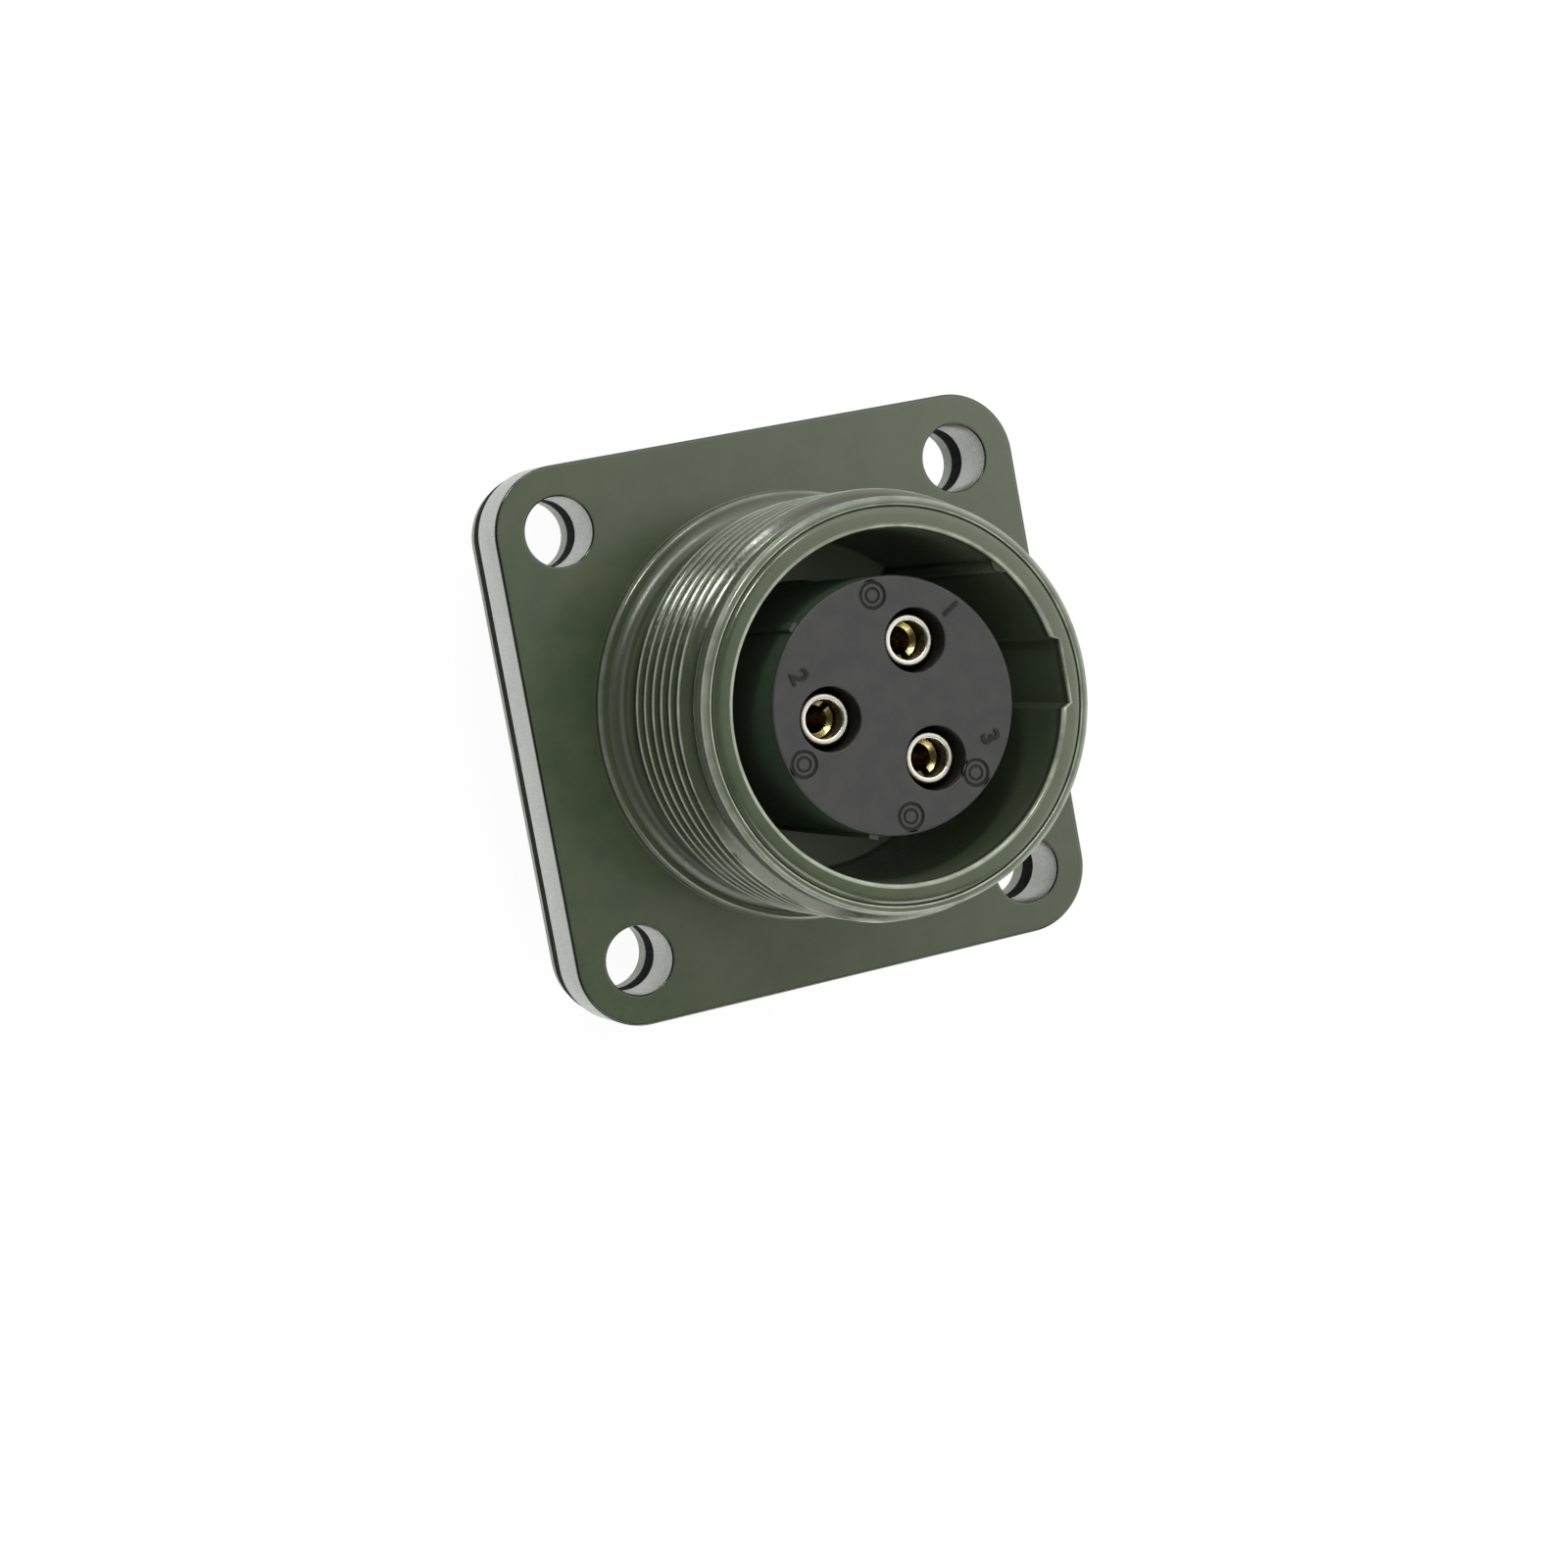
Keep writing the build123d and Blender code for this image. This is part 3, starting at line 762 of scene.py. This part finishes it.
def make_contact(number, centre):
    """Gold-plated socket with two slotted tines, a collar and a scooped solder cup."""
    bm = bmesh.new()
    bore_end = TINE_FRONT - PIN_BORE_DEPTH
    cup_end_inside = CUP_END + CUP_BORE_DEPTH
    path = [(AXIS_R, cup_end_inside + DRILL_POINT), (CUP_BORE_R, cup_end_inside)]
    path += [(CUP_BORE_R, CUP_END), (BARREL_R, CUP_END)]
    path += [(BARREL_R, INSERT_BACK), (COLLAR_R, INSERT_BACK), (COLLAR_R, INSERT_BACK + COLLAR_T)]
    path += [(BARREL_R, INSERT_BACK + COLLAR_T), (BARREL_R, HOOD_BACK), (TINE_R, HOOD_BACK)]
    path += [(TINE_R, TINE_FRONT - TINE_TAPER)]
    tip_from, tip_to = (TINE_TIP_R, TINE_FRONT - TINE_EDGE), (TINE_TIP_R - TINE_EDGE, TINE_FRONT)
    path += arc(tip_from, tip_to, (TINE_TIP_R, TINE_FRONT))
    entry_end, entry_low = PIN_ENTRY_R + TINE_EDGE, TINE_FRONT - ENTRY_SLOPE
    path += arc((entry_end, entry_low), (PIN_ENTRY_R, entry_low - 2 * TINE_EDGE), (PIN_ENTRY_R, entry_low))
    path += [(PIN_BORE_R, TINE_FRONT - TINE_TAPER), (PIN_BORE_R, bore_end)]
    path += [(AXIS_R, bore_end - DRILL_POINT)]
    turn(bm, path, full_turn(CONTACT_COLUMNS), centre)
    stands_for = [f"socket_contact_{number}"]
    piece = finish_piece(bm, f"socket_{number}", stands_for, CONTACT_SMOOTH_DEG, COARSE_WELD)
    far = 2 * COLLAR_R
    slot_end = TINE_FRONT - SLOT_LENGTH
    cut_box(piece, centre, (2 * far, SLOT_W), slot_end, TINE_FRONT + CUT_PAST, SLOT_ANGLES[number - 1])
    scoop = (centre[0], centre[1] + SCOOP_OFFSET + far)
    cut_box(piece, scoop, (2 * far, 2 * far), CUP_END - CUT_PAST, CUP_END + SCOOP_LENGTH)
    return piece


# Materials

# Span that the value of a noise texture mostly keeps to
NOISE_LOW = 0.35
NOISE_HIGH = 0.65

# How far the roughness of a plating swings either way
PLATING_SWING = 0.05

# Edge values at which the plating's painted shade in its hollows, its pale edge wear with painted highlight,
# and the insulator's painted shade in its hollows begin and are full
PAINTED_SHADE_SPAN = (-0.05, -0.35)
WEAR_AND_HIGHLIGHT_SPAN = (0.25, 0.8)
SHADE_SPAN = (-0.1, -0.8)


def shader(name, base, metallic, roughness):
    """A material with a Principled shader, and its node tree."""
    material = bpy.data.materials.new(name)
    material.use_nodes = True
    tree = material.node_tree
    principled = tree.nodes["Principled BSDF"]
    principled.inputs["Base Color"].default_value = (*base, 1.0)
    principled.inputs["Metallic"].default_value = metallic
    principled.inputs["Roughness"].default_value = roughness
    return material, tree, principled


def srgb(r, g, b):
    """Linear colour of an 8-bit sRGB colour."""
    def linear(v):
        v /= 255
        return v / 12.92 if v <= 0.04045 else ((v + 0.055) / 1.055) ** 2.4
    return tuple(linear(v) for v in (r, g, b))


def noise(tree, scale, detail=4.0, roughness=0.55):
    """The value of a noise texture in object space. The scale is in cells for each metre."""
    coordinates = tree.nodes.new("ShaderNodeTexCoord")
    texture = tree.nodes.new("ShaderNodeTexNoise")
    texture.inputs["Scale"].default_value = scale
    texture.inputs["Detail"].default_value = detail
    texture.inputs["Roughness"].default_value = roughness
    tree.links.new(coordinates.outputs["Object"], texture.inputs["Vector"])
    return texture.outputs["Fac"]


def ramp(tree, source, stops):
    """The colour of a ramp on a value. Stops are (position, linear colour)."""
    node = tree.nodes.new("ShaderNodeValToRGB")
    elements = node.color_ramp.elements
    while len(elements) < len(stops):
        elements.new(0.5)
    for element, (position, colour) in zip(elements, stops):
        element.position = position
        element.color = (*colour, 1.0)
    tree.links.new(source, node.inputs["Fac"])
    return node.outputs["Color"]


def two_tones(tree, darker, paler, scale, detail=4.0, roughness=0.55):
    """A colour that drifts between two tones."""
    return ramp(tree, noise(tree, scale, detail, roughness), [(NOISE_LOW, darker), (NOISE_HIGH, paler)])


def calculate(tree, operation, *values):
    """The result of a Math node on sockets or plain numbers."""
    node = tree.nodes.new("ShaderNodeMath")
    node.operation = operation
    for socket, value in zip(node.inputs, values):
        if isinstance(value, float):
            socket.default_value = value
        else:
            tree.links.new(value, socket)
    return node.outputs[0]


def map_range(tree, source, first, last, low, high):
    """A number that goes from low to high as a value goes from first to last."""
    node = tree.nodes.new("ShaderNodeMapRange")
    node.inputs["From Min"].default_value = first
    node.inputs["From Max"].default_value = last
    node.inputs["To Min"].default_value = low
    node.inputs["To Max"].default_value = high
    tree.links.new(source, node.inputs["Value"])
    return node.outputs["Result"]


def spread(tree, source, low, high):
    """Maps the value of a noise onto a range."""
    return map_range(tree, source, NOISE_LOW, NOISE_HIGH, low, high)


def add_grain(tree, principled, rough, scale, detail, strength, depth):
    """Fine grain that moves the roughness over a span, with bump of a depth in millimetres."""
    grain = noise(tree, scale, detail)
    tree.links.new(spread(tree, grain, *rough), principled.inputs["Roughness"])
    bump = tree.nodes.new("ShaderNodeBump")
    bump.inputs["Strength"].default_value = strength
    bump.inputs["Distance"].default_value = depth * MM
    tree.links.new(grain, bump.inputs["Height"])
    tree.links.new(bump.outputs["Normal"], principled.inputs["Normal"])


def blend_colours(tree, share, first, second):
    """Mixes two colours by a share, each a socket or a linear colour."""
    node = tree.nodes.new("ShaderNodeMix")
    node.data_type = "RGBA"
    tree.links.new(share, node.inputs["Factor"])
    for socket, colour in zip([s for s in node.inputs if s.type == "RGBA"], (first, second)):
        if isinstance(colour, tuple):
            socket.default_value = (*colour, 1.0)
        else:
            tree.links.new(colour, socket)
    return next(s for s in node.outputs if s.type == "RGBA")


def edge_share(tree, none, full):
    """A share that grows from 0 to 1 as the edge value goes from none to full."""
    attribute = tree.nodes.new("ShaderNodeAttribute")
    attribute.attribute_name = "edge"
    return map_range(tree, attribute.outputs["Fac"], none, full, 0.0, 1.0)


def olive_material(name, darker, paler, roughness, metallic=0.0, tint=(0.97, 1.0, 0.86)):
    """Olive drab plating between two tones, pale along its edges from wear and painted highlight, and with
    painted shade in its hollows.
    """
    material, tree, principled = shader(name, darker, metallic, roughness)
    painted_hollow_shade, bare_metal_and_highlight = srgb(8, 11, 7), srgb(154, 161, 146)
    tones = two_tones(tree, darker, paler, scale=420.0, detail=5.0, roughness=0.65)
    # Painted shade: the plating turns near black in its hollows.
    plain = blend_colours(tree, edge_share(tree, *PAINTED_SHADE_SPAN), tones, painted_hollow_shade)
    patches = spread(tree, noise(tree, scale=700.0, detail=3.0), low=0.45, high=1.0)
    # Pale bare metal on convex edges: real wear, and also a painted highlight along the edges.
    wear_and_highlight = calculate(tree, "MULTIPLY", edge_share(tree, *WEAR_AND_HIGHLIGHT_SPAN), patches)
    tree.links.new(blend_colours(tree, wear_and_highlight, plain, bare_metal_and_highlight), principled.inputs["Base Color"])
    rough = roughness - PLATING_SWING, roughness + PLATING_SWING
    add_grain(tree, principled, rough, scale=5200.0, detail=3.0, strength=0.06, depth=0.01)
    principled.inputs["Specular IOR Level"].default_value = 1.0
    principled.inputs["Specular Tint"].default_value = (*tint, 1.0)
    return material


def gasket_material():
    """Matt black sheet rubber with a fine grain."""
    material, tree, principled = shader("black_sheet_rubber", srgb(10, 12, 11), metallic=0.0, roughness=0.9)
    principled.inputs["Specular IOR Level"].default_value = 0.2
    add_grain(tree, principled, (0.8, 0.95), scale=4000.0, detail=5.0, strength=0.3, depth=0.03)
    return material


def plate_material():
    """Grey-green plated sheet."""
    base = srgb(128, 136, 122)
    material, tree, principled = shader("grey_green_sheet", base, metallic=0.6, roughness=0.35)
    tones = two_tones(tree, srgb(112, 120, 108), srgb(140, 146, 132), scale=500.0)
    tree.links.new(tones, principled.inputs["Base Color"])
    add_grain(tree, principled, (0.3, 0.42), scale=6000.0, detail=3.0, strength=0.1, depth=0.01)
    return material


def insert_material(name, darker, paler, gloss=0.5):
    """Moulded insulator, satin with a faint mottle between two tones, and painted shade in its hollows."""
    material, tree, principled = shader(name, darker, metallic=0.0, roughness=0.45)
    tones = two_tones(tree, darker, paler, scale=900.0)
    # Painted shade: the base turns near black in the insulator's hollows and grooves.
    base = blend_colours(tree, edge_share(tree, *SHADE_SPAN), tones, srgb(22, 22, 21))
    tree.links.new(base, principled.inputs["Base Color"])
    add_grain(tree, principled, (0.38, 0.52), scale=7000.0, detail=4.0, strength=0.15, depth=0.01)
    principled.inputs["Specular IOR Level"].default_value = gloss
    return material


def metal_material(name, base, roughness, swing):
    """Plain or plated metal, whose roughness swings with a fine grain."""
    material, tree, principled = shader(name, base, 1.0, roughness)
    rough = roughness - swing, roughness + swing
    add_grain(tree, principled, rough, scale=9000.0, detail=2.0, strength=0.06, depth=0.005)
    return material


def dress(piece, *materials):
    """Gives a piece its materials, the first one everywhere until others are placed."""
    piece.data.materials.clear()
    for material in materials:
        piece.data.materials.append(material)


def face_centres(mesh):
    """The X, Y and Z of every face's centre, in millimetres."""
    centres = np.empty(len(mesh.polygons) * 3)
    mesh.polygons.foreach_get("center", centres)
    return centres.reshape(-1, 3).T / MM


def shade_shell(piece):
    """Places the shell's second material, a paler painted light, in the cavity and on the neck, and its
    third, a painted reflection, on the flange's sides.
    """
    mesh = piece.data
    x, y, z = face_centres(mesh)
    radius = np.hypot(x, y)
    in_cavity = (z > CAVITY_FLOOR - NEAR) & (z < MOUTH - KEYWAY_LEAD_LENGTH) & (radius < CROWN_R)
    on_neck = (z > BOSS_TOP + NEAR) & (z < THREAD_START) & (radius < NECK_R + NECK_FILLET)
    on_side = (z > FLANGE_BACK + EDGE_R) & (z < FLANGE_FRONT - EDGE_R) & (radius > BOSS_R)
    index = np.where(on_side, 2, np.where(in_cavity | on_neck, 1, 0))
    mesh.polygons.foreach_set("material_index", index.astype(np.int32))


def shade_insert(piece):
    """Places the insert's second material, a greenish painted reflection, on its sides, and its third, a
    darker painted shade, in the wells and the marks.
    """
    mesh = piece.data
    x, y, z = face_centres(mesh)
    radius = np.hypot(x, y)
    below = z < INSERT_FACE - INSERT_EDGE
    from_well = np.min([np.hypot(x - cx, y - cy) for cx, cy in contact_centres()], axis=0)
    in_well = below & (from_well < WELL_R + WELL_EDGE) & (z > HOOD_BACK - WELL_FLOOR_GAP - NEAR)
    depth = (INSERT_FACE - z) / MARK_DEPTH
    in_mark = (depth > MARK_SHADED_FROM) & (depth < MARK_SHADED_TO) & (radius < MARK_CIRCLE_R + MARK_R)
    on_side = below & (radius > INSERT_R - BAND)
    index = np.where(in_well | in_mark, 2, np.where(on_side, 1, 0))
    mesh.polygons.foreach_set("material_index", index.astype(np.int32))


# Build the pieces
shell = make_shell()
front_insert = make_front_insert()
numerals = make_numerals()
hoods = [make_hood(number, centre) for number, centre in enumerate(contact_centres(), 1)]
sockets = [make_contact(number, centre) for number, centre in enumerate(contact_centres(), 1)]

olive = olive_material("olive_drab_plating", srgb(51, 62, 44), srgb(59, 67, 49), roughness=0.2)
# Painted light: a paler, rougher copy of the plating for the cavity and the neck, which lifts the dark
# cavity.
dull_olive_painted_light = olive_material("olive_drab_dull_painted_light", srgb(68, 80, 61), srgb(74, 84, 65), roughness=0.34)
# Painted reflection: pale grey plating on the flange's sides and the holes' walls, standing in for the white
# surroundings they reflect.
olive_painted_reflection = olive_material(
    "olive_drab_painted_reflection", srgb(157, 159, 153), srgb(167, 169, 162),
    roughness=0.3, metallic=0.7, tint=(1.0, 1.0, 1.0),
)
plastic = insert_material("moulded_insulator", srgb(44, 43, 43), srgb(50, 49, 48))
# Painted reflection: a paler, greener copy of the insulator for its sides in the cavity, standing in for
# light reflected off the olive walls.
side_plastic_painted_reflection = insert_material("insulator_side_painted_reflection", srgb(62, 78, 62), srgb(68, 82, 66))
# Painted shade: a darker copy of the insulator for the wells, the marks' grooves and the raised numbers.
painted_shade_plastic = insert_material("insulator_painted_shade", srgb(30, 31, 28), srgb(36, 36, 33), gloss=0.2)
gold = metal_material("gold_plating", srgb(212, 192, 130), roughness=0.28, swing=PLATING_SWING)
bright = metal_material("bright_plating", srgb(240, 236, 222), roughness=0.3, swing=PLATING_SWING)
steel = metal_material("spring_steel", srgb(150, 150, 148), roughness=0.35, swing=0.08)
dress(shell, olive, dull_olive_painted_light, olive_painted_reflection)
shade_shell(shell)
dress(front_insert, plastic, side_plastic_painted_reflection, painted_shade_plastic)
shade_insert(front_insert)
for piece in numerals:
    # The raised numbers are drawn dark with the wells' painted shade.
    dress(piece, painted_shade_plastic)
for piece in hoods:
    dress(piece, bright)
for piece in sockets:
    dress(piece, gold)
dress(nodes["flange_gasket"], gasket_material())
dress(nodes["backing_plate"], plate_material())
dress(nodes["rear_insert"], plastic)
dress(nodes["retaining_ring"], steel)


# Stage

def white_unless_lit(tree, lit, share):
    """Mixes a shader with plain white where the camera, a gloss or glass sees it."""
    path = tree.nodes.new("ShaderNodeLightPath").outputs
    seen = calculate(tree, "MAXIMUM", path["Is Camera Ray"], path["Is Glossy Ray"])
    seen = calculate(tree, "MAXIMUM", seen, path["Is Transmission Ray"])
    white = tree.nodes.new("ShaderNodeEmission")
    white.inputs["Strength"].default_value = 1.0
    mix = tree.nodes.new("ShaderNodeMixShader")
    tree.links.new(calculate(tree, "MULTIPLY", seen, share), mix.inputs["Fac"])
    tree.links.new(lit, mix.inputs[1])
    tree.links.new(white.outputs["Emission"], mix.inputs[2])
    return mix.outputs["Shader"]


# Half the floor's width in metres, and how much of it is plain white rather than lit
FLOOR_HALF = 3.0
FLOOR_WHITE = 0.94


def make_floor():
    """Plain white floor under the skirt's end."""
    mesh = bpy.data.meshes.new("floor")
    level = SKIRT_END * MM
    corners = [(-FLOOR_HALF, -FLOOR_HALF, level), (FLOOR_HALF, -FLOOR_HALF, level)]
    corners += [(FLOOR_HALF, FLOOR_HALF, level), (-FLOOR_HALF, FLOOR_HALF, level)]
    mesh.from_pydata(corners, [], [(0, 1, 2, 3)])
    floor = bpy.data.objects.new("floor", mesh)
    bpy.context.scene.collection.objects.link(floor)
    material, tree, principled = shader("floor_white", (0.9, 0.9, 0.9), metallic=0.0, roughness=0.9)
    principled.inputs["Specular IOR Level"].default_value = 0.0
    output = tree.nodes["Material Output"]
    tree.links.new(white_unless_lit(tree, principled.outputs["BSDF"], FLOOR_WHITE), output.inputs["Surface"])
    mesh.materials.append(material)


# Brightness of the studio's ceiling on its dim left side and on its bright right and upper side
DIM_LEVEL = 0.05
BRIGHT_LEVEL = 1.9

# Where it turns from dim to bright, along X with this share of Y added
DIM_UNTIL = 0.175
BRIGHT_FROM = 0.47
CEILING_SLANT = 0.5

# Brightness of the horizon at heights above it
HORIZON = ((0.0, 1.0), (0.12, 0.8), (0.35, 0.0))


def make_world():
    """White to the camera, and otherwise a pale horizon and a ceiling that is bright on one side."""
    world = bpy.data.worlds.new("studio")
    bpy.context.scene.world = world
    world.use_nodes = True
    tree = world.node_tree
    tree.nodes.clear()
    output = tree.nodes.new("ShaderNodeOutputWorld")
    coordinates = tree.nodes.new("ShaderNodeTexCoord")
    split = tree.nodes.new("ShaderNodeSeparateXYZ")
    tree.links.new(coordinates.outputs["Generated"], split.inputs[0])
    x, y, z = split.outputs
    horizon = ramp(tree, z, [(height, (level, level, level)) for height, level in HORIZON])
    slanted = calculate(tree, "MULTIPLY_ADD", y, CEILING_SLANT, x)
    ceiling = map_range(tree, slanted, DIM_UNTIL, BRIGHT_FROM, DIM_LEVEL, BRIGHT_LEVEL)
    dim = tree.nodes.new("ShaderNodeBackground")
    tree.links.new(calculate(tree, "MAXIMUM", horizon, ceiling), dim.inputs["Strength"])
    white = tree.nodes.new("ShaderNodeBackground")
    white.inputs["Color"].default_value = (1.0, 1.0, 1.0, 1.0)
    path = tree.nodes.new("ShaderNodeLightPath")
    mix = tree.nodes.new("ShaderNodeMixShader")
    tree.links.new(path.outputs["Is Camera Ray"], mix.inputs["Fac"])
    tree.links.new(dim.outputs["Background"], mix.inputs[1])
    tree.links.new(white.outputs["Background"], mix.inputs[2])
    tree.links.new(mix.outputs["Shader"], output.inputs["Surface"])


def soft_light(name, place, size, watts, shows_in_gloss=True):
    """A square area light at a place in millimetres, aimed at the insert's face."""
    lamp = bpy.data.lights.new(name, "AREA")
    lamp.shape = "SQUARE"
    lamp.size = size * MM
    lamp.energy = watts
    holder = bpy.data.objects.new(name, lamp)
    bpy.context.scene.collection.objects.link(holder)
    holder.location = Vector(place) * MM
    holder.visible_glossy = shows_in_gloss
    aim = Vector((0, 0, INSERT_FACE)) * MM - holder.location
    holder.rotation_euler = aim.to_track_quat("-Z", "Y").to_euler()


# Camera, matched to the flange, its holes, the barrel and the contacts
CAMERA_AT = (-65.14, 13.18, 175.56)
CAMERA_TURN = (-3.0155, 0.2997, -0.5579)
CAMERA_LENS = 77.87
SENSOR = 36.0


def make_camera():
    """The photograph's camera. CAMERA_TURN is the rotation vector of a view with Y down and Z ahead."""
    data = bpy.data.cameras.new("camera")
    data.sensor_width = SENSOR
    data.lens = CAMERA_LENS
    data.clip_start = 0.01
    data.clip_end = 20.0
    camera = bpy.data.objects.new("camera", data)
    bpy.context.scene.collection.objects.link(camera)
    vector = Vector(CAMERA_TURN)
    seen = Matrix.Rotation(vector.length, 3, vector.normalized())
    right, down, ahead = seen[0], seen[1], seen[2]
    place = Matrix((right, -down, -ahead)).transposed().to_4x4()
    place.translation = Vector(CAMERA_AT) * MM
    camera.matrix_world = place
    bpy.context.scene.camera = camera


make_floor()
make_world()
soft_light("key", (-129, 250, 291), size=65, watts=0.4)
soft_light("window", (-23, 304, 264), size=50, watts=0.15)
soft_light("low_window", (97, -325, 145), size=150, watts=0.28)
soft_light("side_window", (-75, -262, 300), size=220, watts=0.36)
soft_light("front_fill", (-210, 42, 578), size=450, watts=1.0, shows_in_gloss=False)
soft_light("straight_fill", (0, 0, 620), size=300, watts=0.8, shows_in_gloss=False)
make_camera()
bpy.context.scene.view_settings.view_transform = "Standard"
